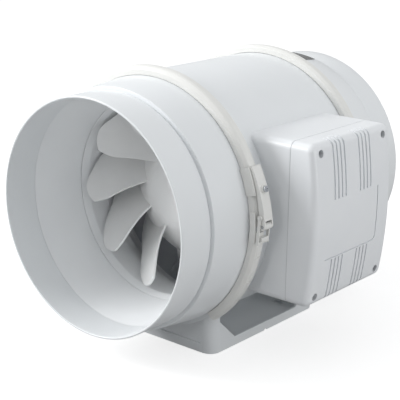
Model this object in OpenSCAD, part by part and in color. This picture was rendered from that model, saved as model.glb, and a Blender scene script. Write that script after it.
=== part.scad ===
// Inline mixed-flow duct fan, 250 mm class.
// Frame: the duct axis is +Y (air flows from -Y to +Y), +Z is up, the wiring box is on +X.
// The origin is the centre of the inlet rim.

/* [Duct] */
// Outside diameter of the inlet and outlet spigots
spigot_d = 247; // [245:0.5:250]
// Overall length from rim to rim
overall_l = 383; // [380:1:390]
// Length of each plain spigot, where a duct slips on
spigot_l = 42; // [38:1:46]
// Wall thickness of the moulded shells
wall = 2.5; // [2.2:0.1:2.8]

/* [Casing] */
// Outside radius of the motor section
casing_r = 133.3; // [133:0.1:134]
// Distance from each rim to the flange joint
joint_y = 97.2; // [96.5:0.1:98]
// Outside radius of the joint flanges
flange_r = 136; // [135.8:0.1:136.2]

/* [Impeller] */
// Number of impeller blades
blade_count = 9; // [7:1:11]
// Thickness of a blade
blade_t = 2.2; // [1.8:0.1:2.6]
// Gap between the blade tips and the shroud
tip_gap = 2; // [1.8:0.1:3]
// Number of guide vanes behind the impeller
vane_count = 17; // [15:1:17]

/* [Wiring box] */
// Width of the box along the duct
box_w = 140; // [136:1:144]
// Height of the box
box_h = 167; // [164:1:170]
// Distance from the duct axis to the seam between base and cover
box_seam_x = 156; // [154:0.5:158]
// Distance from the duct axis to the crown of the cover
box_face_x = 188; // [186:0.5:190]
// Cover screw spacing along the duct
screw_pitch_y = 113; // [110:1:116]
// Cover screw spacing in height
screw_pitch_z = 147; // [144:1:150]

/* [Bracket] */
// Distance from the duct axis to the mounting surface
base_drop = 155; // [153:1:158]
// Width of the mounting bracket
bracket_w = 164; // [160:1:166]
// Mounting slot spacing across the duct
slot_pitch_x = 98; // [94:1:102]
// Mounting slot spacing along the duct
slot_pitch_y = 134; // [130:1:138]

/* [Hidden] */
$fn = 96;

spigot_r = spigot_d / 2;
mid_y = overall_l / 2;
rear_joint_y = overall_l - joint_y;
moulded = [0.93, 0.94, 0.95];
inner_grey = [0.80, 0.81, 0.83];
steel = [0.72, 0.73, 0.75];
rubber = [0.16, 0.16, 0.17];
pale_seal = [0.70, 0.71, 0.72];

// joint flanges
seal_t = 1.6;
flange_w = 3.4;
flange_slope = 1.6;
cone_r = 131.8;             // outside of the spigot where it meets the clamp

// flow path
throat_r = 110.5;
throat_y = 99;
shroud = [[110.5, 99.3], [107.4, 108], [107.4, 136], [114, 152], [127.5, 171]];
shroud_t = 2;
vane_ring_r = 127.5;
drum_r = 80;
drum_y = [176, 262];
vane_t = 2.2;

// hub outline, radius against distance along the axis
hub = [[31, 126.5], [38, 129], [44, 132], [52, 136.5], [60, 142], [68, 148.3], [74, 154], [78, 159], [80, 165],
    [80, 172]];
hub_wall = 2.6;
boss_r = 13;
shaft_r = 5;
cup_r = 25;                 // recess for the shaft nut in the hub's face
cup_y = 134;
root_y = [131, 167];
tip_y = [93, 161.5];
root_lead = 132.5;          // angle of a blade's leading edge at the hub
tip_lead = 154.5;           // and at the tip
root_wrap = 44;
tip_wrap = 44;
lead_bow = [7, -12.8];      // bow of the leading edge, in angle and along the axis
tip_round = 28.5;           // how far the leading corner is rounded back
lead_cut = 0.05;
root_gap = 0.15;
span_steps = 7;
chord_steps = 10;

// motor
can_r = 61.5;
can_in = 58;
can_y = [180, 244];
bearing_r = 13;
bearing_w = 8;
rotor_r = 26;
air_gap = 0.5;
core_y = [197, 231];
cap_t = 4;
motor_screw_ring = 45;
lead_r = 3.5;
lead_y = 200;
lead_x = 144;

// clamp band profile, radius against distance from its middle plane
band_profile = [[132.1, -7.4], [137.6, -7.4], [141, -4.8], [141.8, -2.2], [141.8, 3.8], [139.5, 7.4],
    [133.6, 7.4], [133.6, 6.1], [136.3, 4.5], [136.3, -4.6], [132.1, -6]];
band_r = 141.8;
skirt_r = 133.7;            // inside radius of the flanks that stand over the casing
cone_skirt_r = 132.2;       // and over the spigot's cone
band_ends = [0.6, 232];
tail_ends = [-52, -2.2];

// latch: the lever pivot, the link pivot and the hook bar, as x and z
lever_pivot = [147.3, 2.5];
link_pivot = [145.1, 11.5];
hook_bar = [142.8, -15];
pin_r = 1.5;
pivot_play = 0.06;
ear_r = 3.4;
lug_half = 4.6;
cheek_in = 5;
cheek_out = 6.6;
arm_in = 7.2;
arm_out = 8.8;
lever_in_r = 143.8;
lever_out = [150.6, 146];   // outside radius at the pivot end and at the free end
lever_ends = [1.4, 24.6];
plate_start_z = 8.5;
lever_plate = 1.6;
saddle_t = 1.4;
saddle_ends = [13.4, 24.8];
latch_screw_a = 15.2;

// wiring box
box_corner = 8;
box_y = [mid_y - box_w / 2, mid_y + box_w / 2];
crown_sag = 6;              // how far the face falls from its middle to the cover screws
crown_r = (pow(screw_pitch_z / 2, 2) + pow(crown_sag, 2)) / (2 * crown_sag);
gasket_t = 1;
block_y = [150, 187];
plinth_x = 138.5;
cap_can_r = 14;
cap_x = 155;
cap_y = 227;
gland_x = 143;
gland_z = -60;

// bracket
plate_t = 5;
rail_h = 10;
rib_t = 3;
post_w = 16;
post_depth = 14;
web_set = 2;
bracket_corner = 13;
gusset_end = 38.8;          // how far the side gusset runs back from the end of the bracket
gusset_top = 39.5;          // height of the gusset's top corner above the mounting surface
slot_w = 6;
slot_len = 14;

// a solid turned about the duct axis; points are radius, distance along the axis
module turned(points) rotate([-90, 0, 0]) rotate_extrude() polygon(points);

// the same over an arc from angle a to angle b, measured from +X towards +Z
module turned_arc(points, a, b)
    rotate([90, 0, 0]) rotate([0, 0, a]) rotate_extrude(angle = b - a)
        polygon([for (p = points) [p[0], -p[1]]]);

module ring_y(r_in, r_out, y0, y1) turned([[r_in, y0], [r_out, y0], [r_out, y1], [r_in, y1]]);

module rod_y(r, y0, y1) translate([0, y0, 0]) rotate([-90, 0, 0]) cylinder(r = r, h = y1 - y0);

// a rod along the duct through the point p, given as x and z
module rod_at(p, r, y0, y1) translate([p[0], 0, p[1]]) rod_y(r, y0, y1);

module rod_x(r, x0, x1) translate([x0, 0, 0]) rotate([0, 90, 0]) cylinder(r = r, h = x1 - x0);

// an outline in x and z pushed along the duct
module slab_y(y0, y1) translate([0, y1, 0]) rotate([90, 0, 0]) linear_extrude(y1 - y0) children();

// an outline in y and z pushed along +X
module slab_x(x0, x1) translate([x0, 0, 0]) rotate([90, 0, 90]) linear_extrude(x1 - x0) children();

module rounded_rect(w, h, r) {
    square([w - 2 * r, h], center = true);
    square([w, h - 2 * r], center = true);
    for (x = [-1, 1], y = [-1, 1]) translate([x * (w / 2 - r), y * (h / 2 - r)]) circle(r);
}

// ---- duct shells ----

seat_r = spigot_r - 1.6;    // rebate in the spigot for the funnel's mouth
seat_y = spigot_l - 2.2;
spigot_points = [[spigot_r - wall, 0], [spigot_r, 0], [spigot_r, spigot_l], [spigot_r + 3.7, spigot_l + 0.6],
    [cone_r, joint_y - 8.2], [cone_r, joint_y - 5.7], [flange_r, joint_y - 4.2], [flange_r, joint_y - seal_t / 2],
    [cone_r - wall, joint_y - seal_t / 2], [cone_r - wall, joint_y - 7.2],
    [spigot_r + 1.3, spigot_l + 2.2], [seat_r, spigot_l + 1.4], [seat_r, seat_y], [spigot_r - wall, seat_y]];

module spigot() turned(spigot_points);

module inlet_spigot() color(moulded) spigot();

module outlet_spigot() color(moulded) translate([0, overall_l, 0]) mirror([0, 1, 0]) spigot();

module inlet_funnel() color(moulded) {
    mouth_r = seat_r - 0.15;
    lip_r = spigot_r + 1.3;
    turned([[mouth_r - 0.6, seat_y + 0.3], [mouth_r, seat_y + 0.3], [mouth_r, spigot_l + 1.6],
        [lip_r - 0.4, spigot_l + 2.8], [lip_r, spigot_l + 4], [lip_r, spigot_l + 7],
        [throat_r + 2, throat_y - 1], [throat_r + 1.2, throat_y], [throat_r, throat_y]]);
}

module flange_seal(y) color(pale_seal) ring_y(cone_r - wall + 0.2, flange_r - 0.8, y - seal_t / 2, y + seal_t / 2);
module front_seal() flange_seal(joint_y);
module rear_seal() flange_seal(rear_joint_y);

module main_casing() color(moulded) difference() {
    y0 = joint_y + seal_t / 2;
    y1 = overall_l - y0;
    turned([[casing_r - wall, y0], [flange_r, y0], [flange_r, y0 + flange_w], [casing_r, y0 + flange_w + flange_slope],
        [casing_r, y1 - flange_w - flange_slope], [flange_r, y1 - flange_w], [flange_r, y1], [casing_r - wall, y1]]);
    translate([0, lead_y, 0]) rod_x(lead_r + 2.5, casing_r - 10, casing_r + 5);
    for (y = [-50, 50], z = [-45, 45]) translate([0, mid_y + y, z]) rod_x(1.6, casing_r - 20, casing_r + 5);
}

module impeller_shroud() color(moulded) {
    start = shroud[0];
    last = len(shroud) - 1;
    back = [for (i = [last:-1:1]) shroud[i] + [shroud_t, 0]];
    turned(concat(shroud, [[shroud[last][0], drum_y[0]], [casing_r - wall, drum_y[0]],
        [casing_r - wall, drum_y[0] - 2.4], [shroud[last][0] + shroud_t, drum_y[0] - 2.4]], back,
        [[shroud[1][0] + shroud_t + 0.6, start[1] + 5], [casing_r - wall, start[1] + 5],
        [casing_r - wall, start[1] + 2], [start[0] + shroud_t, start[1]]]));
}

// ---- impeller ----

function hub_radius(y) = lookup(y, [for (p = hub) [p[1], p[0]]]);
function shroud_radius(y) = lookup(y, [for (p = shroud) [p[1], p[0]]]);
function lead_round(t) = tip_round * exp(-t / 0.19);
function lead_start(s) = lead_cut * pow(max(0, (s - 0.7) / 0.3), 2);
function mix(a, b, s) = a + (b - a) * s;

// middle of the blade; s runs from root to tip, chord from leading to trailing edge
function blade_mid(s, chord) =
    let (t = mix(lead_start(s), 1, chord))
    let (yr = mix(root_y[0], root_y[1], pow(t, 1.2)), yt = mix(tip_y[0], tip_y[1], pow(t, 1.84)))
    let (rr = hub_radius(yr) - 3, rt = shroud_radius(yt) - tip_gap - lead_round(t), bow = s * (1 - s) * (1 - t))
    let (r = mix(rr, rt, s), y = mix(yr, yt, s) + lead_bow[1] * bow)
    let (a = mix(root_lead - root_wrap * t, tip_lead - tip_wrap * t, s) + lead_bow[0] * bow)
    [r * cos(a), y, r * sin(a)];

function blade_normal(s, t) =
    let (e = 0.01, u = s > 0.5 ? -e : e, v = t > 0.5 ? -e : e)
    let (n = cross((blade_mid(s + u, t) - blade_mid(s, t)) / u, (blade_mid(s, t + v) - blade_mid(s, t)) / v))
    n / norm(n);

module blade() {
    ns = span_steps;
    nt = chord_steps;
    side = (ns + 1) * (nt + 1);
    points = [for (k = [-1, 1], i = [0:ns], j = [0:nt])
        let (s = 1 - pow(1 - i / ns, 1.4), t = pow(j / nt, 1.5))
        blade_mid(s, t) + k * blade_t / 2 * blade_normal(s, t)];
    function at(k, i, j) = k * side + i * (nt + 1) + j;
    faces = [
        for (i = [0:ns - 1], j = [0:nt - 1]) each [
            [at(0, i, j), at(0, i + 1, j), at(0, i + 1, j + 1)], [at(0, i, j), at(0, i + 1, j + 1), at(0, i, j + 1)],
            [at(1, i, j), at(1, i + 1, j + 1), at(1, i + 1, j)], [at(1, i, j), at(1, i, j + 1), at(1, i + 1, j + 1)]],
        for (i = [0:ns - 1]) each [
            [at(0, i, 0), at(1, i, 0), at(1, i + 1, 0)], [at(0, i, 0), at(1, i + 1, 0), at(0, i + 1, 0)],
            [at(0, i, nt), at(1, i + 1, nt), at(1, i, nt)], [at(0, i, nt), at(0, i + 1, nt), at(1, i + 1, nt)]],
        for (j = [0:nt - 1]) each [
            [at(0, 0, j), at(1, 0, j + 1), at(1, 0, j)], [at(0, 0, j), at(0, 0, j + 1), at(1, 0, j + 1)],
            [at(0, ns, j), at(1, ns, j), at(1, ns, j + 1)], [at(0, ns, j), at(1, ns, j + 1), at(0, ns, j + 1)]]];
    polyhedron(points, faces, convexity = 6);
}

module impeller() color(moulded) {
    last = len(hub) - 1;
    difference() {
        union() {
            turned(concat([[shaft_r, cup_y], [cup_r, cup_y], [cup_r, hub[0][1]]], hub,
                [for (i = [last:-1:1]) [hub[i][0] - hub_wall, hub[i][1] + (i == last ? 0 : 1.4)]],
                [[cup_r + 3.4, hub[0][1] + 4], [cup_r + 3.4, cup_y + 4], [boss_r, cup_y + 4], [boss_r, 170], [shaft_r, 170]]));
            for (k = [0:5]) rotate([0, k * 60 + 20, 0]) translate([boss_r - 0.5, 150, -1]) cube([56, 14, 2]);
        }
        rod_y(shaft_r, 100, 175);
    }
}

// the blades are set on the hub, with root_gap left between them
module impeller_blades() color(moulded) difference() {
    for (k = [0:blade_count - 1]) rotate([0, -k * 360 / blade_count, 0]) blade();
    grown = [for (p = hub) p + [root_gap, -root_gap]];
    turned(concat([[0, grown[0][1]]], grown, [[0, grown[len(hub) - 1][1]]]), $fn = 180);
}

module impeller_nose() color(moulded) turned([[0, 122], [12, 122.8], [22, 124.3], [31, 126.5],
    [28.4, 126.5], [21, 126.1], [11, 124.6], [0, 123.9]]);

module impeller_nut() color(steel) difference() {
    translate([0, cup_y - 5.3, 0]) rotate([-90, 0, 0]) cylinder(r = 9, h = 5.3, $fn = 6);
    rod_y(shaft_r, cup_y - 10, cup_y + 10);
}

// ---- motor ----

module motor_shaft() color(steel) rod_y(shaft_r, cup_y - 5.8, can_y[1] - 1);

module motor_rotor() color(steel) ring_y(shaft_r, rotor_r, core_y[0] - 1, core_y[1] + 1);

module motor_stator() color([0.45, 0.46, 0.48]) ring_y(rotor_r + air_gap, can_in, core_y[0], core_y[1]);

module motor_windings() color([0.72, 0.42, 0.22]) {
    ring_y(31, 50, core_y[0] - 6.5, core_y[0]);
    ring_y(31, 50, core_y[1], core_y[1] + 4.5);
}

module bearing_seat(y0, y1) ring_y(bearing_r, bearing_r + 3.5, y0, y1);

module motor_housing() color(steel) {
    ring_y(can_in, can_r, can_y[0], can_y[1]);
    ring_y(shaft_r + 1.5, can_in + 0.5, can_y[0], can_y[0] + 3);
    bearing_seat(can_y[0] + 2.9, can_y[0] + 3 + bearing_w);
}

module motor_end_cap() color(steel) difference() {
    union() {
        rod_y(can_r, can_y[1], can_y[1] + cap_t);
        bearing_seat(can_y[1] - bearing_w, can_y[1] + 0.1);
    }
    motor_screw_rods(2, can_y[1] + 0.5, can_y[1] + 10);
}

module motor_screw_rods(r, y0, y1)
    for (a = [45:90:315]) rotate([0, a, 0]) translate([motor_screw_ring, 0, 0]) rod_y(r, y0, y1);

module motor_screws() color(steel) {
    motor_screw_rods(2, can_y[1] + 0.5, can_y[1] + cap_t + 3.6);
    motor_screw_rods(4, can_y[1] + cap_t + 3.5, can_y[1] + cap_t + 6);
}

module bearing(y) color(steel) ring_y(shaft_r + 0.03, bearing_r, y, y + bearing_w);
module front_bearing() bearing(can_y[0] + 3);
module rear_bearing() bearing(can_y[1] - bearing_w);

// ---- guide vanes and tail ----

// swirl of a vane: how far its inlet edge leans round, as an outline in y and z
function vane_lean(y) = 18 * pow(max(0, (252 - y) / 68), 2);
vane_y = [for (y = [184:9:256]) y];

module vane_plate() slab_x(70, vane_ring_r + 5) polygon(concat(
    [for (y = vane_y) [y, vane_lean(y) - vane_t / 2]],
    [for (i = [len(vane_y) - 1:-1:0]) [vane_y[i], vane_lean(vane_y[i]) + vane_t / 2]]));

module lead_hole() translate([0, lead_y, 0]) rod_x(lead_r + 0.2, drum_r - 10, casing_r);

module diffuser_drum() color(inner_grey) difference() {
    union() {
        ring_y(drum_r - wall, drum_r, drum_y[0], drum_y[1]);
        ring_y(20, drum_r - 1, can_y[1] + cap_t, can_y[1] + cap_t + 3.5);
    }
    motor_screw_rods(2.2, can_y[1], can_y[1] + 20);
    lead_hole();
}

module guide_vanes() color(inner_grey) difference() {
    intersection() {
        for (k = [0:vane_count - 1]) rotate([0, -5.3 - k * 360 / vane_count, 0]) vane_plate();
        ring_y(drum_r, vane_ring_r, drum_y[0], drum_y[1]);
    }
    lead_hole();
}

module diffuser_ring() color(inner_grey) difference() {
    ring_y(vane_ring_r, casing_r - wall, drum_y[0], drum_y[1]);
    lead_hole();
}

module tail_cone() color(inner_grey) turned([[drum_r - 5, drum_y[1] - 6], [drum_r - wall, drum_y[1] - 6],
    [drum_r - wall, drum_y[1]], [drum_r, drum_y[1]], [78, 276], [73, 290], [65, 304], [53, 317], [38, 327],
    [20, 334], [0, 337], [0, 334.4], [19, 331.6], [36, 324.9], [51, 315.2], [63, 302.4], [70.5, 289],
    [75.4, 275.5], [76.6, drum_y[1] + 2], [drum_r - 5, drum_y[1]]]);

module motor_lead() color([0.22, 0.22, 0.24]) {
    translate([0, lead_y, 0]) rod_x(lead_r, can_r + 0.05, lead_x);
    translate([lead_x, lead_y, 0]) sphere(lead_r);
    rod_at([lead_x, 0], lead_r, block_y[1], lead_y);
}

module lead_grommet() color(rubber) translate([0, lead_y, 0]) difference() {
    rod_x(lead_r + 2.5, casing_r - wall, casing_r + wall);
    rod_x(lead_r, casing_r - 10, casing_r + 10);
}

// ---- clamps and latches ----

// an arc plate centred on a clamp's middle plane
module clamp_arc(y, r0, r1, w0, w1, a, b) turned_arc([[r0, y + w0], [r1, y + w0], [r1, y + w1], [r0, y + w1]], a, b);

// side is 1 at the inlet end and -1 at the outlet end, where the strap is turned the other way round
module clamp_strap(y, side, ends)
    turned_arc([for (p = band_profile) [p[0], y + side * p[1]]], ends[0], ends[1]);

module clamp_band(y, side) color(moulded) clamp_strap(y, side, band_ends);

// the short strap below the latch, with the guard plate that shields the gap
module clamp_tail(y, side) color(moulded) {
    clamp_strap(y, side, tail_ends);
    clamp_arc(y, skirt_r, 140.6, -side * 8.8, -side * 7.4, -6.5, 6.5);
}

module latch_base(y, side) color(moulded) difference() {
    union() {
        clamp_arc(y, band_r, band_r + saddle_t, -lug_half, lug_half, 0.7, 14);
        clamp_arc(y, band_r, band_r + saddle_t, -8.9, 8.9, saddle_ends[0], saddle_ends[1]);
        for (s = [-1, 1]) clamp_arc(y, s == side ? skirt_r : cone_skirt_r, band_r + saddle_t, s * 8.9, s * 7.5,
            saddle_ends[0], saddle_ends[1]);
        rod_at(lever_pivot, ear_r, y - lug_half, y + lug_half);
        translate([band_r, y - lug_half, lever_pivot[1] - 2]) cube([lever_pivot[0] - band_r, 2 * lug_half, 4]);
    }
    rod_at(lever_pivot, pin_r, y - 20, y + 20);
    translate([0, y, 0]) rotate([0, -latch_screw_a, 0]) rod_x(2.6, band_r - 5, band_r + 5);
}

module latch_catch(y) color(moulded) difference() {
    translate([138, y - 5.5, hook_bar[1] + 2]) cube([8.4, 11, 4]);
    rod_y(band_r, y - 20, y + 20);
}

module latch_pin(y) color(steel) rod_at(lever_pivot, pin_r, y - cheek_out - 0.3, y + cheek_out + 0.3);

function lever_r(a) = mix(lever_out[0], lever_out[1], (a - lever_ends[0]) / (lever_ends[1] - lever_ends[0]));
lever_angles = [for (i = [0:8]) mix(lever_ends[0], lever_ends[1], i / 8)];

module lever_outline(cut) polygon(concat(
    [for (a = lever_angles) (lever_in_r - cut) * [cos(a), sin(a)]],
    [for (i = [8:-1:0]) (lever_r(lever_angles[i]) - cut) * [cos(lever_angles[i]), sin(lever_angles[i])]]));

module latch_lever(y) color(moulded) difference() {
    union() {
        slab_y(y - cheek_out, y + cheek_out) lever_outline(0);
        rod_at(lever_pivot, ear_r, y - cheek_out, y + cheek_out);
        rod_at(link_pivot, pin_r, y - arm_out - 0.3, y + arm_out + 0.3);
        translate([0, y, 0]) rotate([0, -latch_screw_a, 0]) rod_x(4.2, 145.8, 149.6);
    }
    slab_y(y - cheek_in, y + cheek_in) lever_outline(lever_plate);
    translate([130, y - cheek_in, -8]) cube([30, 2 * cheek_in, 8 + plate_start_z]);
    rod_at(lever_pivot, pin_r + pivot_play, y - 20, y + 20);
    translate([0, y, 0]) rotate([0, -latch_screw_a, 0]) rod_x(1.7, 130, 160);
}

module latch_screw(y) color("silver") translate([0, y, 0]) rotate([0, -latch_screw_a, 0]) difference() {
    union() {
        rod_x(1.6, band_r + 0.5, 149.7);
        rod_x(3.2, 149.6, 151.6);
    }
    for (t = [[0.8, 4], [4, 0.8]]) translate([150.7, -t[0] / 2, -t[1] / 2]) cube([2, t[0], t[1]]);
}

module link_arm() difference() {
    union() {
        translate(link_pivot) circle(2.7);
        translate(hook_bar) circle(1.9);
        polygon([link_pivot + [-1.6, 0], link_pivot + [1.6, 0], hook_bar + [1.6, 0], hook_bar + [-1.4, 0]]);
    }
    translate(link_pivot) circle(pin_r + pivot_play);
}

module latch_link(y) color(moulded) {
    slab_y(y - arm_out, y - arm_in) link_arm();
    slab_y(y + arm_in, y + arm_out) link_arm();
    rod_at(hook_bar, 1.3, y - arm_in - 0.5, y + arm_in + 0.5);
}

module front_clamp_band() clamp_band(joint_y, 1);
module front_clamp_tail() clamp_tail(joint_y, 1);
module front_latch_base() latch_base(joint_y, 1);
module front_latch_catch() latch_catch(joint_y);
module front_latch_lever() latch_lever(joint_y);
module front_latch_link() latch_link(joint_y);
module front_latch_pin() latch_pin(joint_y);
module front_latch_screw() latch_screw(joint_y);
module rear_clamp_band() clamp_band(rear_joint_y, -1);
module rear_clamp_tail() clamp_tail(rear_joint_y, -1);
module rear_latch_base() latch_base(rear_joint_y, -1);
module rear_latch_catch() latch_catch(rear_joint_y);
module rear_latch_lever() latch_lever(rear_joint_y);
module rear_latch_link() latch_link(rear_joint_y);
module rear_latch_pin() latch_pin(rear_joint_y);
module rear_latch_screw() latch_screw(rear_joint_y);

// ---- wiring box ----

// the box outline, shrunk all round by inset, from x0 to x1
module box_prism(x0, x1, inset) translate([0, mid_y, 0]) slab_x(x0, x1)
    rounded_rect(box_w - 2 * inset, box_h - 2 * inset, box_corner - inset);

module at_cover_screws() for (y = [-1, 1], z = [-1, 1])
    translate([0, mid_y + y * screw_pitch_y / 2, z * screw_pitch_z / 2]) children();

module at_base_screws() for (y = [-50, 50], z = [-45, 45]) translate([0, mid_y + y, z]) children();

module terminal_box_base() color(moulded) difference() {
    union() {
        difference() {
            box_prism(90, box_seam_x - gasket_t, 0);
            difference() {
                box_prism(80, box_seam_x + 5, wall);
                rod_y(casing_r + wall, 0, overall_l);
            }
        }
        translate([casing_r, block_y[0] - 2, -20]) cube([plinth_x - casing_r, block_y[1] - block_y[0] + 4, 40]);
        translate([casing_r, cap_y - 8, -8]) cube([plinth_x - casing_r, 16, 16]);
        at_cover_screws() rod_x(4.5, 112, box_seam_x - gasket_t);
    }
    rod_y(casing_r, 0, overall_l);
    at_cover_screws() rod_x(1.6, 125, 160);
    at_base_screws() rod_x(1.8, 110, 160);
    translate([0, lead_y, 0]) rod_x(lead_r + 2.5, 120, 150);
    rod_at([gland_x, gland_z], 8, box_y[1] - 10, box_y[1] + 5);
}

module crown_solid(inset) translate([box_face_x - inset - (crown_r - inset), 0, 0])
    rod_y(crown_r - inset, box_y[0] - 5, box_y[1] + 5);

module terminal_box_cover() color(moulded) difference() {
    union() {
        difference() {
            intersection() {
                box_prism(box_seam_x, box_face_x + 5, 0);
                crown_solid(0);
            }
            intersection() {
                box_prism(box_seam_x - 5, box_face_x, wall);
                crown_solid(wall);
            }
        }
        intersection() {
            at_cover_screws() rod_x(6.2, box_seam_x, box_face_x + 5);
            crown_solid(0);
            box_prism(box_seam_x, box_face_x + 5, 0.5);
        }
    }
    at_cover_screws() rod_x(2.1, 150, 200);
    at_cover_screws() rod_x(4, 173, 200);
}

module cover_gasket() color(pale_seal) difference() {
    box_prism(box_seam_x - gasket_t, box_seam_x, 0.3);
    box_prism(box_seam_x - 5, box_seam_x + 5, wall);
    at_cover_screws() rod_x(6.3, 150, 160);
}

module cross_slots(x, size) for (t = [[0.9, size], [size, 0.9]])
    translate([x - 1.2, -t[0] / 2, -t[1] / 2]) cube([3, t[0], t[1]]);

module cover_screws() color("silver") at_cover_screws() difference() {
    union() {
        rod_x(1.6, 136, 173.1);
        rod_x(3.5, 173, 175.4);
    }
    cross_slots(175.4, 4.4);
}

module box_base_screws() color("silver") at_base_screws() {
    rod_x(1.6, 123.6, 129.5);
    rod_x(3.4, 129.3, 131.5);
}

module terminal_block() color([0.88, 0.87, 0.80]) difference() {
    translate([plinth_x, block_y[0], -17]) cube([12, block_y[1] - block_y[0], 34]);
    for (i = [0:2], z = [-11, 11]) translate([0, block_y[0] + 7 + i * 11.5, z])
        rod_x(2.6, plinth_x + 6, plinth_x + 15);
    for (i = [0, 1]) translate([plinth_x + 7, block_y[0] + 11.8 + i * 11.5, -20]) cube([6, 1.6, 40]);
}

module terminal_screws() color([0.80, 0.70, 0.42]) for (i = [0:2], z = [-11, 11])
    translate([0, block_y[0] + 7 + i * 11.5, z]) difference() {
        rod_x(2.6, plinth_x + 6, plinth_x + 9);
        translate([plinth_x + 8.2, -3, -0.4]) cube([2, 6, 0.8]);
    }

module capacitor() color([0.85, 0.86, 0.87]) translate([cap_x, cap_y, -27]) cylinder(r = cap_can_r, h = 54);

module capacitor_clip() color(steel) difference() {
    union() {
        translate([cap_x, cap_y, -4]) cylinder(r = cap_can_r + 1.4, h = 8);
        translate([plinth_x, cap_y - 8, -4]) cube([4, 16, 8]);
    }
    translate([cap_x, cap_y, -30]) cylinder(r = cap_can_r, h = 60);
}

module cable_gland() color([0.30, 0.31, 0.33]) difference() {
    union() {
        rod_at([gland_x, gland_z], 8, box_y[1] - wall - 6, box_y[1] + 12);
        translate([gland_x, box_y[1], gland_z]) rotate([-90, 0, 0]) cylinder(r = 11, h = 5, $fn = 6);
    }
    rod_at([gland_x, gland_z], 5.5, box_y[1] - 20, box_y[1] + 30);
}

module gland_nut() color([0.30, 0.31, 0.33]) difference() {
    union() {
        translate([gland_x, box_y[1] + 5, gland_z]) rotate([-90, 0, 0]) cylinder(r = 11, h = 9, $fn = 6);
        rod_at([gland_x, gland_z], 9, box_y[1] + 13.9, box_y[1] + 18);
    }
    rod_at([gland_x, gland_z], 8, box_y[1], box_y[1] + 12);
    rod_at([gland_x, gland_z], 6.5, box_y[1], box_y[1] + 30);
}

module gland_seal() color(rubber) difference() {
    rod_at([gland_x, gland_z], 6.5, box_y[1] + 12, box_y[1] + 17.4);
    rod_at([gland_x, gland_z], 4, box_y[1], box_y[1] + 30);
}

// ---- bracket and label ----

module bracket_plan(inset) translate([0, mid_y])
    rounded_rect(bracket_w - 2 * inset, rear_joint_y - joint_y - 2 * inset, bracket_corner - inset);

// one end of the bracket: a recessed web, two posts and the side gussets
module bracket_end() {
    half = bracket_w / 2;
    top = base_drop - 100;
    intersection() {
        translate([0, 0, -base_drop]) linear_extrude(top) bracket_plan(0);
        union() {
            translate([-half, joint_y + web_set, -base_drop]) cube([bracket_w, rib_t, top]);
            for (s = [-1, 1]) {
                translate([s * (half - post_w / 2) - post_w / 2, joint_y, -base_drop]) cube([post_w, rib_t, top]);
                translate([s * (half - post_w + rib_t / 2) - rib_t / 2, joint_y, -base_drop])
                    cube([rib_t, post_depth, top]);
                difference() {
                    translate([s * (half - post_w / 2) - post_w / 2, joint_y, -base_drop])
                        cube([post_w, bracket_corner, top]);
                    translate([0, 0, -base_drop - 1]) linear_extrude(top + 2) bracket_plan(rib_t);
                }
                translate([s * (half - rib_t / 2) - rib_t / 2, 0, -base_drop]) slab_x(0, rib_t)
                    polygon([[joint_y, 0], [joint_y, gusset_top + 3], [joint_y + 7.6, gusset_top],
                        [joint_y + gusset_end, rail_h], [joint_y + gusset_end, 0]]);
            }
        }
    }
}

module mounting_bracket() color(moulded) difference() {
    union() {
        translate([0, 0, -base_drop]) linear_extrude(plate_t) bracket_plan(0);
        translate([0, 0, -base_drop]) linear_extrude(rail_h) difference() {
            bracket_plan(0);
            bracket_plan(rib_t);
        }
        bracket_end();
        translate([0, overall_l, 0]) mirror([0, 1, 0]) bracket_end();
    }
    rod_y(flange_r + 0.05, 0, overall_l);
    for (x = [-1, 1], y = [-1, 1])
        translate([x * slot_pitch_x / 2, mid_y + y * slot_pitch_y / 2, -base_drop - 1]) linear_extrude(plate_t + 2) {
            square([slot_len - slot_w, slot_w], center = true);
            for (e = [-1, 1]) translate([e * (slot_len - slot_w) / 2, 0]) circle(slot_w / 2);
        }
    for (x = [-1, 1]) translate([x * bracket_w / 2 - 2, mid_y - 2.5, -base_drop - 1]) cube([4, 5, 2.4]);
}

// outside radius of a spigot's cone at a distance from its rim
function cone_at(y) = cone_r - (cone_r - spigot_r - 3.7) / (joint_y - 8.8 - spigot_l) * (joint_y - 8.2 - y);

module blank_label() color([0.10, 0.10, 0.11])
    turned_arc([for (p = [[45, 0], [80, 0], [80, 0.4], [45, 0.4]]) [cone_at(p[0]) + p[1], overall_l - p[0]]], 75, 100);

inlet_spigot();
inlet_funnel();
front_seal();
main_casing();
impeller_shroud();
rear_seal();
outlet_spigot();
impeller();
impeller_blades();
impeller_nose();
impeller_nut();
motor_shaft();
motor_rotor();
motor_stator();
motor_windings();
motor_housing();
motor_end_cap();
front_bearing();
rear_bearing();
motor_screws();
diffuser_drum();
guide_vanes();
diffuser_ring();
tail_cone();
motor_lead();
lead_grommet();
front_clamp_band();
front_clamp_tail();
front_latch_base();
front_latch_catch();
front_latch_lever();
front_latch_link();
front_latch_pin();
front_latch_screw();
rear_clamp_band();
rear_clamp_tail();
rear_latch_base();
rear_latch_catch();
rear_latch_lever();
rear_latch_link();
rear_latch_pin();
rear_latch_screw();
terminal_box_base();
terminal_box_cover();
cover_gasket();
cover_screws();
box_base_screws();
terminal_block();
terminal_screws();
capacitor();
capacitor_clip();
cable_gland();
gland_nut();
gland_seal();
mounting_bracket();
blank_label();
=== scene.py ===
import bpy
from math import atan2, cos, degrees, exp, pi, radians, sin, sqrt, tan
from mathutils import Matrix, Vector


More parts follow.
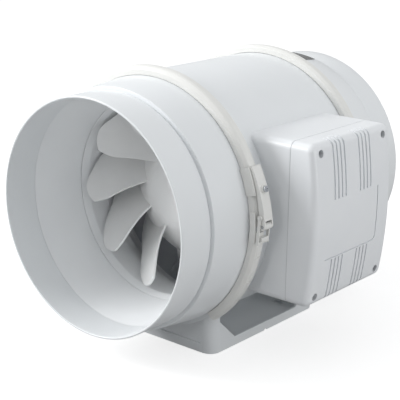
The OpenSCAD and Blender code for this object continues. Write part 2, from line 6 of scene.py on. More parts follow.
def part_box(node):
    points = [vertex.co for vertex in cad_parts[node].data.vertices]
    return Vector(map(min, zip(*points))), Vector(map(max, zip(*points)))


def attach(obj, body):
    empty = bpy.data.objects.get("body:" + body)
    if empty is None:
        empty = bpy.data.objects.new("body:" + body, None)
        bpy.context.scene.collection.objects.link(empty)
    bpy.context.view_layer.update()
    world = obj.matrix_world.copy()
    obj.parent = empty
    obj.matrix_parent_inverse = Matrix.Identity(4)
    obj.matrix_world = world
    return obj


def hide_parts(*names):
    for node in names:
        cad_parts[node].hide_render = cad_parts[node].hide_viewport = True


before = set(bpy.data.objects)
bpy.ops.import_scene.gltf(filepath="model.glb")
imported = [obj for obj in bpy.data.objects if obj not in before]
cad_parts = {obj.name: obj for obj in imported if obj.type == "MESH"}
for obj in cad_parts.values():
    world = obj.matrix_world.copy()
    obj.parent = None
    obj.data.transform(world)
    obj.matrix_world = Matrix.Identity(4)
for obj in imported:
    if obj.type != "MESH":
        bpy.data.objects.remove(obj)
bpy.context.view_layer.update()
mm = 0.001


def reach(node):
    # lowest and highest corner of a CAD node, in millimetres
    low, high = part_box(node)
    return low / mm, high / mm


# the duct's own measures, taken from the frame
ductLength = reach("outlet_spigot")[1].y
middleY = ductLength / 2
jointY = (reach("front_seal")[0].y + reach("front_seal")[1].y) / 2
floorZ = reach("mounting_bracket")[0].z
print("frame loaded, duct length", round(ductLength, 1))

# ---- camera, made first

cameraSettings = {"lens": 101.85, "place": (766.3, -749.0, 339.9), "aim": (14.3, 155.9, -10.9), "roll": 0.8}


def makeCamera(s):
    place = Vector(s["place"]) * mm
    bpy.ops.object.camera_add(location=place)
    camera = bpy.context.object
    camera.name = "studioCamera"
    facing = (Vector(s["aim"]) * mm - place).to_track_quat("-Z", "Y").to_matrix()
    camera.rotation_euler = (facing @ Matrix.Rotation(radians(s["roll"]), 3, "Z")).to_euler()
    camera.data.lens = s["lens"]
    camera.data.clip_start, camera.data.clip_end = 0.05, 60
    bpy.context.scene.camera = camera


makeCamera(cameraSettings)

# ---- modelling helpers; all lengths are in millimetres


def only(piece):
    # this piece alone is selected and active
    if bpy.context.mode != "OBJECT":
        bpy.ops.object.mode_set(mode="OBJECT")
    bpy.ops.object.select_all(action="DESELECT")
    piece.select_set(True)
    bpy.context.view_layer.objects.active = piece


def named(name):
    piece = bpy.context.object
    piece.name = piece.data.name = name
    return piece


def rounded(points):
    # a corner given as (u, v, radius) becomes an arc
    out = []
    for i, point in enumerate(points):
        here = Vector(point[:2])
        if len(point) < 3:
            out.append(here)
            continue
        back = (Vector(points[i - 1][:2]) - here).normalized()
        ahead = (Vector(points[(i + 1) % len(points)][:2]) - here).normalized()
        half = back.angle(ahead) / 2
        centre = here + (back + ahead).normalized() * point[2] / sin(half)
        first = here + back * point[2] / tan(half) - centre
        last = here + ahead * point[2] / tan(half) - centre
        a = atan2(first.y, first.x)
        swing = (atan2(last.y, last.x) - a + pi) % (2 * pi) - pi
        steps = max(2, round(abs(degrees(swing)) / 18))
        for k in range(steps + 1):
            t = a + swing * k / steps
            out.append(centre + Vector((cos(t), sin(t))) * point[2])
    return out


def drawn(name, points, filled=True):
    # one vertex extruded from point to point, then closed to a face or a loop
    if bpy.context.mode != "OBJECT":
        bpy.ops.object.mode_set(mode="OBJECT")
    bpy.ops.object.select_all(action="DESELECT")
    bpy.ops.mesh.primitive_plane_add(size=mm)
    piece = named(name)
    bpy.ops.object.mode_set(mode="EDIT")
    bpy.ops.mesh.select_mode(type="VERT")
    bpy.ops.mesh.merge(type="CENTER")
    bpy.ops.transform.translate(value=Vector(points[0]) * mm)
    for last, point in zip(points, points[1:]):
        move = (Vector(point) - Vector(last)) * mm
        bpy.ops.mesh.extrude_vertices_move(TRANSFORM_OT_translate={"value": move})
    bpy.ops.mesh.select_all(action="SELECT")
    bpy.ops.mesh.edge_face_add()
    if not filled:
        bpy.ops.mesh.delete(type="ONLY_FACE")
    return piece


def closeUp():
    # merges what meets and turns every face outwards
    bpy.ops.mesh.select_all(action="SELECT")
    bpy.ops.mesh.remove_doubles(threshold=0.01 * mm)
    bpy.ops.mesh.delete_loose(use_verts=True, use_edges=True, use_faces=False)
    bpy.ops.mesh.select_all(action="SELECT")
    bpy.ops.mesh.normals_make_consistent(inside=False)
    bpy.ops.object.mode_set(mode="OBJECT")


def turned(name, profile, start=0, sweep=360, steps=180):
    # profile points are radius and distance along the duct; angles run from +X towards +Z
    c, s = cos(radians(start)), sin(radians(start))
    piece = drawn(name, [(r * c, y, r * s) for r, y in rounded(profile)], filled=sweep < 360)
    bpy.ops.mesh.select_all(action="SELECT")
    bpy.ops.mesh.spin(steps=steps, angle=radians(sweep), center=(0, 0, 0), axis=(0, 1, 0))
    closeUp()
    return piece


def pushed(name, outline, axis, low, high):
    # an outline across the axis, filled and extruded along it
    ways = {"X": lambda u, v, w: (w, u, v), "Y": lambda u, v, w: (u, w, v), "Z": lambda u, v, w: (u, v, w)}
    place = ways[axis]
    piece = drawn(name, [place(u, v, low) for u, v in rounded(outline)])
    along = Vector(place(0, 0, high - low)) * mm
    bpy.ops.mesh.extrude_region_move(TRANSFORM_OT_translate={"value": along})
    closeUp()
    return piece


def rod(name, radius, axis, place, low, high, sides=48):
    # a round rod along the axis; place gives the other two coordinates
    bpy.ops.object.select_all(action="DESELECT")
    turns = {"X": (0, pi / 2, 0), "Y": (pi / 2, 0, 0), "Z": (0, 0, 0)}
    u, v = place
    mid = (low + high) / 2
    spot = {"X": (mid, u, v), "Y": (u, mid, v), "Z": (u, v, mid)}[axis]
    bpy.ops.mesh.primitive_cylinder_add(vertices=sides, radius=radius * mm, depth=(high - low) * mm,
                                        location=Vector(spot) * mm, rotation=turns[axis])
    bpy.ops.object.transform_apply(location=True, rotation=True, scale=True)
    return named(name)


def block(name, low, high):
    bpy.ops.object.select_all(action="DESELECT")
    low, high = Vector(low) * mm, Vector(high) * mm
    bpy.ops.mesh.primitive_cube_add(size=1, location=(low + high) / 2, scale=high - low)
    bpy.ops.object.transform_apply(location=True, rotation=True, scale=True)
    return named(name)


def applied(piece, kind, **settings):
    only(piece)
    bpy.ops.object.modifier_add(type=kind)
    modifier = piece.modifiers[-1]
    for key, value in settings.items():
        setattr(modifier, key, value)
    bpy.ops.object.modifier_apply(modifier=modifier.name)
    return piece


def merged(pieces, name):
    only(pieces[0])
    for piece in pieces:
        piece.select_set(True)
    bpy.ops.object.join()
    return named(name)


def boolean(piece, other, operation="DIFFERENCE"):
    applied(piece, "BOOLEAN", operation=operation, solver="EXACT", object=other)
    bpy.data.objects.remove(other)
    return piece


def softened(piece, width, segments=2, angle=35):
    return applied(piece, "BEVEL", width=width * mm, segments=segments, limit_method="ANGLE",
                   angle_limit=radians(angle), harden_normals=False)


def smoothed(piece, angle=32):
    # smooth shading that leaves flat faces flat
    only(piece)
    bpy.ops.object.shade_smooth_by_angle(angle=radians(angle))
    return applied(piece, "WEIGHTED_NORMAL", keep_sharp=True, weight=50)


def chosen(piece, kind, test):
    # picks the edges or faces that pass the test, and stays in edit mode
    only(piece)
    bpy.ops.object.mode_set(mode="EDIT")
    bpy.ops.mesh.select_mode(type=kind)
    bpy.ops.mesh.select_all(action="DESELECT")
    bpy.ops.object.mode_set(mode="OBJECT")
    for part in (piece.data.edges if kind == "EDGE" else piece.data.polygons):
        part.select = test(part)
    bpy.ops.object.mode_set(mode="EDIT")


def copied(piece, name):
    only(piece)
    bpy.ops.object.duplicate(linked=False)
    return named(name)


def spun(piece, angle):
    # turns a piece about the duct's axis, from +X towards +Z
    only(piece)
    bpy.ops.object.mode_set(mode="EDIT")
    bpy.ops.mesh.select_all(action="SELECT")
    bpy.ops.transform.rotate(value=radians(angle), orient_axis="Y", center_override=(0, 0, 0))
    bpy.ops.object.mode_set(mode="OBJECT")
    return piece


def flipped(piece, name, level):
    # the mirror image on the other side of a plane across the duct
    copy = copied(piece, name)
    bpy.ops.object.mode_set(mode="EDIT")
    bpy.ops.mesh.select_all(action="SELECT")
    bpy.ops.transform.resize(value=(1, -1, 1), center_override=(0, level * mm, 0))
    bpy.ops.mesh.flip_normals()
    bpy.ops.object.mode_set(mode="OBJECT")
    return copy


def fromFrame(node, name, width=0.5, segments=2, angle=35):
    # a copy of a CAD node, merged, with its edges eased
    bpy.ops.object.select_all(action="DESELECT")
    piece = bpy.data.objects.new(name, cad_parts[node].data.copy())
    bpy.context.collection.objects.link(piece)
    only(piece)
    bpy.ops.object.mode_set(mode="EDIT")
    bpy.ops.mesh.select_all(action="SELECT")
    bpy.ops.mesh.remove_doubles(threshold=0.004 * mm)
    bpy.ops.mesh.customdata_custom_splitnormals_clear()
    bpy.ops.mesh.dissolve_limited(angle_limit=radians(1))
    closeUp()
    softened(piece, width, segments, angle)
    return smoothed(piece)


def fitted(piece, material, body, slot, *stands):
    # the piece's finish, the body it moves with and the CAD nodes it stands for
    piece.data.materials.clear()
    piece.data.materials.append(material)
    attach(piece, body)
    if stands:
        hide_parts(*stands)
    return piece


# ---- material helpers


def linear(colour):
    # an sRGB hex colour as linear light
    parts = [int(colour[i:i + 2], 16) / 255 for i in (1, 3, 5)]
    return [p / 12.92 if p <= 0.04045 else ((p + 0.055) / 1.055) ** 2.4 for p in parts] + [1]


def addNode(tree, kind, settings=None, links=None):
    node = tree.nodes.new(kind)
    for key, value in (settings or {}).items():
        if hasattr(node, key):
            setattr(node, key, value)
        else:
            node.inputs[key].default_value = value
    for key, (source, output) in (links or {}).items():
        tree.links.new(source.outputs[output], node.inputs[key])
    return node


def newMaterial(name, **values):
    # a Principled material with its even values set on the sockets
    material = bpy.data.materials.new(name)
    material.use_nodes = True
    shader = material.node_tree.nodes["Principled BSDF"]
    for key, value in values.items():
        shader.inputs[key.replace("_", " ")].default_value = value
    return material, material.node_tree, shader


def perMetre(size):
    # texture scale for a pattern whose features are this many millimetres wide
    return 1 / (size * mm)


def moulded(name, s):
    # injection-moulded plastic: even colour with a faint flow mottle, and a slight ripple in the gloss
    material, tree, shader = newMaterial(name, IOR=s["ior"], Metallic=0)
    place = addNode(tree, "ShaderNodeTexCoord")
    mottle = addNode(tree, "ShaderNodeTexNoise", {"Scale": perMetre(s["mottle"]), "Detail": 3},
                     {"Vector": (place, "Object")})
    shade = addNode(tree, "ShaderNodeMix", {"data_type": "RGBA"}, {"Factor": (mottle, "Fac")})
    shade.inputs[6].default_value = linear(s["colour"])
    shade.inputs[7].default_value = linear(s["deeper"])
    tree.links.new(shade.outputs[2], shader.inputs["Base Color"])
    grain = addNode(tree, "ShaderNodeTexNoise", {"Scale": perMetre(s["grain"]), "Detail": 2},
                    {"Vector": (place, "Object")})
    gloss = addNode(tree, "ShaderNodeMapRange", {"To Min": s["gloss"][0], "To Max": s["gloss"][1]},
                    {"Value": (grain, "Fac")})
    tree.links.new(gloss.outputs[0], shader.inputs["Roughness"])
    ripple = addNode(tree, "ShaderNodeTexNoise", {"Scale": perMetre(s["ripple"]), "Detail": 1},
                     {"Vector": (place, "Object")})
    relief = addNode(tree, "ShaderNodeBump", {"Strength": 1.0, "Distance": s["rippleDepth"] * mm},
                     {"Height": (ripple, "Fac")})
    fine = addNode(tree, "ShaderNodeBump", {"Strength": 1.0, "Distance": s["grainDepth"] * mm},
                   {"Height": (grain, "Fac"), "Normal": (relief, "Normal")})
    tree.links.new(fine.outputs[0], shader.inputs["Normal"])
    return material


# ABS shells: a cool off-white with a clear gloss; the grain is the tool's polish, drawn coarser
# than the real 0.1 mm
shellPlastic = moulded("glossAbsShell", {
    "colour": "#E8EBED", "deeper": "#E4E7E9", "ior": 1.54, "mottle": 60, "grain": 6, "grainDepth": 0.0015,
    "gloss": (0.27, 0.31), "ripple": 45, "rippleDepth": 0.06})
# the funnel and inner walls: the same ABS from a duller tool, its colour drawn lighter than the outer shell
# as painted light for the duct's shaded inside
paintedLightInnerPlastic = moulded("satinAbsInnerPaintedLight", {
    "colour": "#F0F2F3", "deeper": "#EAECEE", "ior": 1.54, "mottle": 50, "grain": 2.0, "grainDepth": 0.003,
    "gloss": (0.34, 0.40), "ripple": 40, "rippleDepth": 0.06})
# glass-filled nylon impeller: white and smooth, slightly warmer
impellerPlastic = moulded("filledNylonImpeller", {
    "colour": "#F0F0EF", "deeper": "#E6E7E7", "ior": 1.53, "mottle": 30, "grain": 1.5, "grainDepth": 0.006,
    "gloss": (0.30, 0.40), "ripple": 25, "rippleDepth": 0.08})
# diffuser and tail: satin moulding in light grey
vanePlastic = moulded("satinAbsDiffuser", {
    "colour": "#C9CCD0", "deeper": "#BEC2C7", "ior": 1.54, "mottle": 40, "grain": 2.0, "grainDepth": 0.008,
    "gloss": (0.38, 0.50), "ripple": 30, "rippleDepth": 0.08})
# wiring box: ABS with a fine spark-eroded tool finish, so a softer gloss
boxPlastic = moulded("softGlossAbsBox", {
    "colour": "#ECEEF0", "deeper": "#E4E7EA", "ior": 1.54, "mottle": 45, "grain": 1.2, "grainDepth": 0.010,
    "gloss": (0.26, 0.36), "ripple": 28, "rippleDepth": 0.10})
# clamps and latches: tough acetal, slightly warm white
clampPlastic = moulded("acetalClamp", {
    "colour": "#E9E9E6", "deeper": "#DFDFDC", "ior": 1.48, "mottle": 25, "grain": 1.0, "grainDepth": 0.010,
    "gloss": (0.28, 0.38), "ripple": 18, "rippleDepth": 0.06})
# cream nylon terminal block
blockPlastic = moulded("creamNylonBlock", {
    "colour": "#E6E1CF", "deeper": "#DBD5C0", "ior": 1.53, "mottle": 15, "grain": 0.8, "grainDepth": 0.012,
    "gloss": (0.45, 0.60), "ripple": 12, "rippleDepth": 0.04})
# dark nylon cable gland
glandPlastic = moulded("greyNylonGland", {
    "colour": "#4A4C50", "deeper": "#404246", "ior": 1.53, "mottle": 12, "grain": 0.8, "grainDepth": 0.015,
    "gloss": (0.42, 0.56), "ripple": 10, "rippleDepth": 0.04})
# pale soft gasket
gasketPlastic = moulded("paleTpeGasket", {
    "colour": "#D6D8DA", "deeper": "#CCCED0", "ior": 1.50, "mottle": 12, "grain": 0.8, "grainDepth": 0.02,
    "gloss": (0.60, 0.75), "ripple": 10, "rippleDepth": 0.04})
# moulded black rubber
rubber = moulded("mouldedRubber", {
    "colour": "#2B2B2D", "deeper": "#232325", "ior": 1.52, "mottle": 14, "grain": 0.7, "grainDepth": 0.02,
    "gloss": (0.60, 0.78), "ripple": 10, "rippleDepth": 0.04})
# printed polyester film with no print on it
labelFilm = moulded("blankPolyesterFilm", {
    "colour": "#141416", "deeper": "#0F0F11", "ior": 1.57, "mottle": 20, "grain": 0.9, "grainDepth": 0.004,
    "gloss": (0.20, 0.30), "ripple": 12, "rippleDepth": 0.03})
# PVC sheath of the internal lead
leadSheath = moulded("pvcSheath", {
    "colour": "#3A3A3D", "deeper": "#303033", "ior": 1.53, "mottle": 20, "grain": 0.9, "grainDepth": 0.01,
    "gloss": (0.40, 0.52), "ripple": 12, "rippleDepth": 0.05})


def metal(name, s):
    # metal with lines or grain from how it was made; lines run round the axis given by stretch
    material, tree, shader = newMaterial(name, Metallic=1.0)
    place = addNode(tree, "ShaderNodeTexCoord")
    squeeze = addNode(tree, "ShaderNodeMapping", {"Scale": s["stretch"]}, {"Vector": (place, "Object")})
    grain = addNode(tree, "ShaderNodeTexNoise", {"Scale": perMetre(s["grain"]), "Detail": 4},
                    {"Vector": (squeeze, "Vector")})
    shade = addNode(tree, "ShaderNodeMix", {"data_type": "RGBA"}, {"Factor": (grain, "Fac")})
    shade.inputs[6].default_value = linear(s["colour"])
    shade.inputs[7].default_value = linear(s["deeper"])
    tree.links.new(shade.outputs[2], shader.inputs["Base Color"])
    gloss = addNode(tree, "ShaderNodeMapRange", {"To Min": s["gloss"][0], "To Max": s["gloss"][1]},
                    {"Value": (grain, "Fac")})
    tree.links.new(gloss.outputs[0], shader.inputs["Roughness"])
    relief = addNode(tree, "ShaderNodeBump", {"Strength": 1.0, "Distance": s["depth"] * mm},
                     {"Height": (grain, "Fac")})
    tree.links.new(relief.outputs[0], shader.inputs["Normal"])
    return material


even = (1, 1, 1)
# zinc-nickel plated screws: bright, with faint handling marks
brightSteel = metal("platedScrewSteel", {
    "colour": "#D3D5D8", "deeper": "#B4B7BC", "grain": 1.5, "stretch": even,
    "gloss": (0.12, 0.25), "depth": 0.004})
# cover screws: steel drawn dark grey and matt, as painted shade for their deep recesses
recessShadeSteel = metal("recessShadeScrewSteel", {
    "colour": "#6E7175", "deeper": "#565A5E", "grain": 1.0, "stretch": even,
    "gloss": (0.40, 0.55), "depth": 0.008})
# ground shaft steel: rings round the shaft
groundSteel = metal("groundSteel", {
    "colour": "#B9BBBE", "deeper": "#9B9EA2", "grain": 6, "stretch": (1, 8, 1),
    "gloss": (0.22, 0.34), "depth": 0.004})
# stacked electrical steel: laminations drawn 1 mm apart, twice the real pitch
coreSteel = metal("laminatedCoreSteel", {
    "colour": "#7C7F84", "deeper": "#54575C", "grain": 12, "stretch": (1, 12, 1),
    "gloss": (0.35, 0.5), "depth": 0.05})
# die-cast aluminium: soft grey, fine pitting
castAluminium = metal("dieCastAluminium", {
    "colour": "#B4B6B9", "deeper": "#A0A3A7", "grain": 1.5, "stretch": even,
    "gloss": (0.38, 0.55), "depth": 0.02})
# drawn aluminium can: fine lines along the can
drawnAluminium = metal("drawnAluminiumCan", {
    "colour": "#CBCDD0", "deeper": "#B5B8BC", "grain": 8, "stretch": (8, 8, 1),
    "gloss": (0.22, 0.36), "depth": 0.006})
# turned brass terminal screws
plainBrass = metal("turnedBrass", {
    "colour": "#D9BE7C", "deeper": "#C2A35E", "grain": 1.2, "stretch": even,
    "gloss": (0.22, 0.36), "depth": 0.006})
# enamelled copper: strands run round the motor, drawn 1 mm wide
copperWire = metal("enamelledCopper", {
    "colour": "#B4673A", "deeper": "#7E3F20", "grain": 10, "stretch": (2, 10, 2),
    "gloss": (0.25, 0.4), "depth": 0.25})
print("materials ready")

# ---- duct shells

spigot = {"outR": 123.5, "wall": 2.5, "plain": 42, "step": 3.7, "coneR": 131.8, "coneEnd": jointY - 8.2,
          "flangeR": 136, "flangeStart": jointY - 4.2, "flangeFace": jointY - 0.8,
          "grooveDeep": 0.7, "grooveWide": 1.1, "seatDeep": 1.6, "seatY": 39.8}


def makeSpigots(s):
    inR = s["outR"] - s["wall"]
    stepR = s["outR"] + s["step"]
    inCone = s["coneR"] - s["wall"]
    grooveR = s["outR"] - s["grooveDeep"]
    seatR = s["outR"] - s["seatDeep"]
    # the step stands up out of a fine groove; the funnel's mouth sits in the rebate inside
    grooveY = s["plain"] - s["grooveWide"]
    inlet = turned("inletSpigot", [
        (inR, 0, 1.0), (s["outR"], 0, 1.2), (s["outR"], grooveY, 0.2),
        (grooveR, grooveY + 0.2), (grooveR, s["plain"]), (stepR, s["plain"] + 0.4, 1.2),
        (s["coneR"], s["coneEnd"], 2), (s["coneR"], s["flangeStart"] - 1.5, 0.8),
        (s["flangeR"], s["flangeStart"], 0.6), (s["flangeR"], s["flangeFace"], 0.5),
        (inCone, s["flangeFace"], 0.3), (inCone, s["coneEnd"] + 1),
        (s["outR"] + 1.3, s["plain"] + 2.2), (seatR, s["plain"] + 1.4), (seatR, s["seatY"]),
        (inR, s["seatY"], 0.2)], steps=216)
    smoothed(inlet)
    outlet = flipped(inlet, "outletSpigot", middleY)
    fitted(inlet, shellPlastic, "fan_body", "moulded_shell", "inlet_spigot")
    fitted(outlet, shellPlastic, "fan_body", "moulded_shell", "outlet_spigot")


makeSpigots(spigot)

funnel = {"mouthR": 121.75, "mouthY": 40.1, "lipR": 124.8, "lipY": 49, "throatR": 110.5,
          "throatY": 99, "wall": 1.6}


def makeFunnel(s):
    # a straight cone from the spigot's step to the throat, with a rounded lip at the small end
    piece = turned("inletFunnel", [
        (s["mouthR"] - 0.6, s["mouthY"]), (s["mouthR"], s["mouthY"]), (s["mouthR"], s["mouthY"] + 3.5),
        (s["lipR"] - 0.4, s["lipY"] - 4.2), (s["lipR"], s["lipY"] - 3), (s["lipR"], s["lipY"]),
        (s["throatR"] + s["wall"] + 0.4, s["throatY"] - 1.5, 0.6),
        (s["throatR"] + s["wall"] * 0.8, s["throatY"], 0.5),
        (s["throatR"], s["throatY"], 0.6)], steps=216)
    smoothed(piece)
    # the funnel takes the ABS drawn lighter, painted light for the inside of the duct
    fitted(piece, paintedLightInnerPlastic, "fan_body", "moulded_shell", "inlet_funnel")


makeFunnel(funnel)

casing = {"outR": 133.3, "wall": 2.5, "flangeR": 136, "flange": 3.4, "slope": 1.6}


def makeCasing(s):
    low, high = reach("main_casing")
    y0, y1 = low.y, high.y
    inR = s["outR"] - s["wall"]
    piece = turned("mainCasing", [
        (inR, y0, 0.4), (s["flangeR"], y0, 0.5), (s["flangeR"], y0 + s["flange"], 0.6),
        (s["outR"], y0 + s["flange"] + s["slope"], 1.2), (s["outR"], y1 - s["flange"] - s["slope"], 1.2),
        (s["flangeR"], y1 - s["flange"], 0.6), (s["flangeR"], y1, 0.5), (inR, y1, 0.4)], steps=216)
    hole = reach("lead_grommet")
    centre = (hole[0] + hole[1]) / 2
    radius = (hole[1].y - hole[0].y) / 2
    boolean(piece, rod("leadHole", radius, "X", (centre.y, centre.z), hole[0].x - 8, hole[1].x + 5))
    smoothed(piece)
    fitted(piece, shellPlastic, "fan_body", "moulded_shell", "main_casing")


makeCasing(casing)

shroud = {"line": [(110.5, 99.3), (107.4, 108), (107.4, 136), (114, 152), (127.5, 171)],
          "ease": (0, 8, 20, 20, 4), "end": 176, "lip": 2.4, "wall": 2, "seat": 130.8}


def radiusAt(line, y):
    # straight from point to point of a line of (radius, distance along the duct)
    for (r0, y0), (r1, y1) in zip(line, line[1:]):
        if y <= y1:
            return r0 + (r1 - r0) * max(0, y - y0) / (y1 - y0)
    return line[-1][0]


def makeShroud(s):
    line = s["line"]
    (firstR, firstY), lastR, back = line[0], line[-1][0], s["end"] - s["lip"]
    inside = [(firstR, firstY)] + [(r, y, ease) for (r, y), ease in zip(line[1:], s["ease"][1:])]
    outside = [(r + s["wall"], y, ease) for r, y, ease in reversed(inside[1:])]
    backSeat = [(lastR, s["end"]), (s["seat"], s["end"]), (s["seat"], back), (lastR + s["wall"], back)]
    frontSeat = [(line[1][0] + s["wall"] + 0.6, firstY + 5), (s["seat"], firstY + 5),
                 (s["seat"], firstY + 2), (firstR + s["wall"], firstY)]
    piece = turned("impellerShroud", inside + backSeat + outside + frontSeat, steps=180)
    smoothed(piece)
    # the shroud takes the ABS drawn lighter, painted light for the inside of the duct
    fitted(piece, paintedLightInnerPlastic, "fan_body", "moulded_shell", "impeller_shroud")


makeShroud(shroud)
print("duct shells made")

# ---- impeller

hub = {"line": [(31, 126.5), (38, 129), (44, 132), (52, 136.5), (60, 142), (68, 148.3), (74, 154),
                (78, 159), (80, 165), (80, 172)],
       "wall": 2.6, "cupR": 25, "cupY": 134, "cupWall": 3.4, "floor": 4, "bossR": 13, "boreR": 5,
       "bossEnd": 170}
blade = {"count": 9, "thick": 2.4, "rootY": (131, 167), "tipY": (93, 161.5), "lead": (132.5, 154.5),
         "wrap": (44, 44), "bow": (7, -12.8), "tipGap": 2.0, "round": 28.5, "cut": 0.05, "sink": 3,
         "span": 18, "chord": 32}


def curve(points, steps):
    # a smooth line through the points
    out = []
    for i in range(len(points) - 1):
        before, a = Vector(points[max(i - 1, 0)]), Vector(points[i])
        b, after = Vector(points[i + 1]), Vector(points[min(i + 2, len(points) - 1)])
        for k in range(steps):
            t = k / steps
            out.append(((2 * a) + (b - before) * t + (2 * before - 5 * a + 4 * b - after) * t * t
                        + (3 * a - before - 3 * b + after) * t ** 3) / 2)
    return out + [Vector(points[-1])]


hubLine = [(p.x, p.y) for p in curve(hub["line"], 5)]


def mix(a, b, t):
    return a + (b - a) * t


def makeHub(s):
    inner = [(r - s["wall"], y + 1.4) for r, y in reversed(hubLine[6:-1])]
    frontY, cupOut, cupBack = hubLine[0][1], s["cupR"] + s["cupWall"], s["cupY"] + s["floor"]
    cup = [(s["boreR"], s["cupY"]), (s["cupR"], s["cupY"], 1), (s["cupR"], frontY, 0.3)]
    skirt = [(hubLine[-1][0] - s["wall"], hubLine[-1][1])]
    boss = [(cupOut, frontY + s["floor"]), (cupOut, cupBack), (s["bossR"], cupBack),
            (s["bossR"], s["bossEnd"]), (s["boreR"], s["bossEnd"])]
    piece = turned("impellerHub", cup + hubLine + skirt + inner + boss, steps=144)
    smoothed(piece)
    fitted(piece, impellerPlastic, "rotor", "moulded_impeller", "impeller")


def bladePoint(s, across, chord):
    # across runs from root to tip, chord from the leading to the trailing edge
    along = mix(s["cut"] * max(0, (across - 0.7) / 0.3) ** 2, 1, chord)
    rootY, tipY = mix(*s["rootY"], along ** 1.2), mix(*s["tipY"], along ** 1.84)
    rootR = radiusAt(hubLine, rootY) - s["sink"]
    tipR = radiusAt(shroud["line"], tipY) - s["tipGap"] - s["round"] * exp(-along / 0.19)
    bow = across * (1 - across) * (1 - along)
    r, y = mix(rootR, tipR, across), mix(rootY, tipY, across) + s["bow"][1] * bow
    turn = mix(s["lead"][0] - s["wrap"][0] * along, s["lead"][1] - s["wrap"][1] * along, across)
    a = radians(turn + s["bow"][0] * bow)
    return Vector((r * cos(a), y, r * sin(a))) * mm


def makeBlades(s):
    # a grid laid over the blade's middle surface, thickened, with round edges
    bpy.ops.object.select_all(action="DESELECT")
    bpy.ops.mesh.primitive_grid_add(x_subdivisions=s["chord"], y_subdivisions=s["span"], size=1)
    first = named("impellerBlades")
    for v in first.data.vertices:
        chord, across = v.co.x + 0.5, v.co.y + 0.5
        v.co = bladePoint(s, 1 - (1 - across) ** 1.4, chord ** 1.5)
    applied(first, "SOLIDIFY", thickness=s["thick"] * mm, offset=0, use_even_offset=False)
    softened(first, 0.9, 3, 60)
    only(first)
    bpy.ops.object.mode_set(mode="EDIT")
    closeUp()
    whole = [first] + [spun(copied(first, "blade"), -360 / s["count"] * k) for k in range(1, s["count"])]
    blades = smoothed(merged(whole, "impellerBlades"), 40)
    fitted(blades, impellerPlastic, "rotor", "moulded_impeller", "impeller_blades")


nose = {"outer": [(0, 122), (12, 122.8), (22, 124.3), (30.8, 126.4)],
        "inner": [(28.4, 126.4), (21, 126.1), (11, 124.6)], "innerTop": 123.9}


def makeNose(s):
    # a shallow cap seated on the hub with a fine joint
    outer = [(max(p.x, 0), p.y) for p in curve(s["outer"], 5)]
    piece = turned("impellerNose", outer + s["inner"] + [(0, s["innerTop"])], steps=96)
    smoothed(piece)
    fitted(piece, impellerPlastic, "rotor", "moulded_impeller", "impeller_nose")


makeHub(hub)
makeBlades(blade)
makeNose(nose)
print("impeller made")

# ---- diffuser and tail

diffuser = {"count": 17, "drumR": 80, "ringR": 127.5, "seatR": 130.8, "start": 176, "end": 262,
            "wall": 2.5, "thick": 2.2, "webR": 20, "webY": (248, 251.5),
            "firstAngle": 5.3, "lean": 18, "leanFrom": 252, "leanOver": 68,
            "vaneStart": 184, "vaneEnd": 256}


def makeDiffuser(s):
    drumIn = s["drumR"] - s["wall"]
    web0, web1 = s["webY"]
    drum = turned("diffuserDrum", [
        (drumIn, s["start"], 0.6), (s["drumR"], s["start"], 0.8), (s["drumR"], s["end"]),
        (drumIn, s["end"]), (drumIn, web1), (s["webR"], web1, 0.5), (s["webR"], web0, 0.5),
        (drumIn, web0)], steps=120)
    smoothed(drum)
    fitted(drum, vanePlastic, "fan_body", "moulded_vanes", "diffuser_drum")
    ring = turned("diffuserRing", [
        (s["ringR"], s["start"]), (s["seatR"], s["start"]), (s["seatR"], s["end"], 0.5),
        (s["ringR"], s["end"], 0.8)], steps=144)
    smoothed(ring)
    fitted(ring, vanePlastic, "fan_body", "moulded_vanes", "diffuser_ring")
    # one vane as a curved strip in y and z, pushed out along +X and cut to the drum and the ring
    count = 12
    line = []
    for i in range(count + 1):
        y = mix(s["vaneStart"], s["vaneEnd"], i / count)
        line.append((y, s["lean"] * (max(0, s["leanFrom"] - y) / s["leanOver"]) ** 2))
    half = s["thick"] / 2
    outline = [(y, z - half) for y, z in line] + [(y, z + half) for y, z in reversed(line)]
    vane = pushed("guideVanes", outline, "X", s["drumR"] - 8, s["ringR"] + 6)
    keep = turned("vaneSpace", [(s["drumR"] - 0.4, s["start"]), (s["ringR"] + 0.4, s["start"]),
                                (s["ringR"] + 0.4, s["end"]), (s["drumR"] - 0.4, s["end"])], steps=180)
    boolean(vane, keep, "INTERSECT")
    softened(vane, 0.6, 2, 50)
    spun(vane, s["firstAngle"])
    whole = [vane] + [spun(copied(vane, "vane"), -360 / s["count"] * k) for k in range(1, s["count"])]
    vanes = smoothed(merged(whole, "guideVanes"), 40)
    fitted(vanes, vanePlastic, "fan_body", "moulded_vanes", "guide_vanes")


makeDiffuser(diffuser)

tail = {"line": [(80, 262), (78, 276), (73, 290), (65, 304), (53, 317), (38, 327), (20, 334), (0, 337)],
        "wall": 2.5, "lapIn": 2.5, "lap": 6}


def makeTail(s):
    outer = [(max(p.x, 0), p.y) for p in curve(s["line"], 4)]
    inner = [(max(r - s["wall"] * 0.9, 0), y - s["wall"] * 0.6) for r, y in reversed(outer[1:])]
    drumIn = s["line"][0][0] - s["wall"]
    start = s["line"][0][1]
    # a short collar that laps inside the drum
    lapR, lapY = drumIn - s["lapIn"], start - s["lap"]
    collar = [(lapR, lapY), (drumIn, lapY), (drumIn, start)]
    piece = turned("tailCone", collar + outer + inner + [(lapR, start)], steps=120)
    smoothed(piece)
    fitted(piece, vanePlastic, "fan_body", "moulded_vanes", "tail_cone")


makeTail(tail)
print("diffuser made")

# ---- clamps and latches

